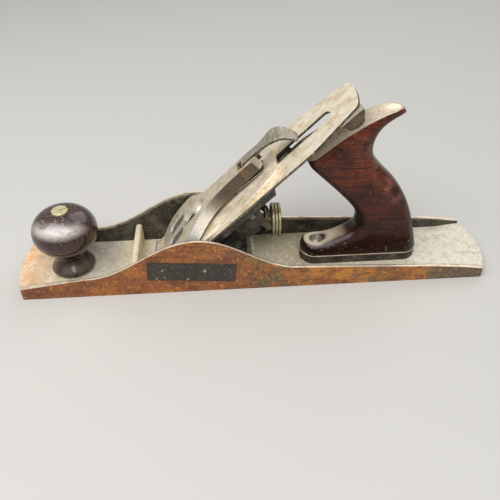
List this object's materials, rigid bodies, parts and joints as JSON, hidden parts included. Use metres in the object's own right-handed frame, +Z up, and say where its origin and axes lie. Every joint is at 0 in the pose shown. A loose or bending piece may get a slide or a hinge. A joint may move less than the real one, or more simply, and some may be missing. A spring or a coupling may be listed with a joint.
{
  "type": "jack plane",
  "caption": "Metal-bodied bench plane with a bedded iron, lever cap, screw depth adjuster, sideways lever, turned front knob and shaped rear handle.",
  "frame": {"origin": "centre of the sole's outline at the underside of the sole", "axes": "+X along the sole towards the heel, -Y towards the side wall with the label strip, +Z up"},
  "size_m": [0.3556, 0.0627, 0.1393],
  "materials": {
    "bed_iron": "rust-browned ground sides, dusty worn japanning inside",
    "tape": "dull embossing tape",
    "rosewood": "dark worn varnish",
    "steel": "dull turned steel",
    "blackened_steel": "darkened steel",
    "brass": "tarnished brass",
    "japanned_iron": "black japanning with dust",
    "malleable_iron": "dark cast iron",
    "lever_steel": "aged steel with light rust",
    "blade_steel": "worn plane iron with tan stains",
    "cap_casting": "polished casting with worn edges and brown hollows",
    "cam_casting": "worn bright casting"
  },
  "bodies": {
    "bed": {"bed_casting": "bed_iron", "label_tape": "tape", "front_knob": "rosewood", "knob_rod": "steel", "knob_nut": "brass", "tote": "rosewood", "tote_rod": "steel", "tote_nut": "brass", "tote_toe_screw": "blackened_steel", "frog_screws": "blackened_steel", "frog_washers": "steel"},
    "frog_group": {"frog": "japanned_iron", "yoke_pin": "steel", "depth_stud": "steel", "lateral_rivet": "steel", "lever_cap_screw": "steel"},
    "depth_core": {"depth_sleeve": "brass"},
    "depth_wheel": {"depth_nut": "brass"},
    "yoke_crank": {"yoke": "malleable_iron"},
    "lateral_arm": {"lateral_lever": "lever_steel"},
    "slot_roller": {"lateral_roller": "steel"},
    "blade_set": {"iron": "blade_steel", "cap_iron": "blade_steel", "cap_iron_screw": "blackened_steel"},
    "cap_set": {"lever_cap": "cap_casting", "cap_spring": "steel", "spring_rivet": "steel", "cam_pin": "steel"},
    "cam": {"cam_lever": "cam_casting"}
  },
  "joints": [
    {"name": "frog_slide", "type": "slide", "parent": "bed", "child": "frog_group", "axis": [1, 0, 0], "range_m": [-0.001, 0.0015]},
    {"name": "depth_travel", "type": "slide", "parent": "frog_group", "child": "depth_core", "axis": [1, 0, 0], "range_m": [-0.003, 0.0015]},
    {"name": "nut_turn", "type": "hinge", "parent": "depth_core", "child": "depth_wheel", "pos_m": [0.013, 0, 0.0396], "axis": [1, 0, 0], "range_deg": [-1020, 510]},
    {"name": "yoke_swing", "type": "hinge", "parent": "frog_group", "child": "yoke_crank", "pos_m": [-0.003, 0, 0.054], "axis": [0, 1, 0], "range_deg": [-5.8, 11.6]},
    {"name": "lateral_swing", "type": "hinge", "parent": "frog_group", "child": "lateral_arm", "pos_m": [0.02087, 0, 0.09122], "axis": [-0.7071, 0, 0.7071], "range_deg": [-6, 6]},
    {"name": "blade_skew", "type": "hinge", "parent": "frog_group", "child": "slot_roller", "pos_m": [-0.03145, 0, 0.04313], "axis": [-0.7071, 0, 0.7071], "range_deg": [-0.99, 0.99]},
    {"name": "blade_feed", "type": "slide", "parent": "slot_roller", "child": "blade_set", "axis": [0.7071, 0, 0.7071], "range_m": [-0.00148, 0.00297]},
    {"name": "cap_release", "type": "slide", "parent": "frog_group", "child": "cap_set", "axis": [0.7071, 0, 0.7071], "range_m": [0, 0.012]},
    {"name": "cam_lift", "type": "hinge", "parent": "cap_set", "child": "cam", "pos_m": [-0.00423, 0, 0.08804], "axis": [0, -1, 0], "range_deg": [0, 100]}
  ],
  "couplings": [
    {"joint": "depth_travel", "follows": "blade_feed", "ratio": -1.0101},
    {"joint": "nut_turn", "follows": "blade_feed", "rad_per_m": -5996.8},
    {"joint": "yoke_swing", "follows": "blade_feed", "rad_per_m": 67.778},
    {"joint": "blade_skew", "follows": "lateral_swing", "ratio": -0.16393}
  ]
}
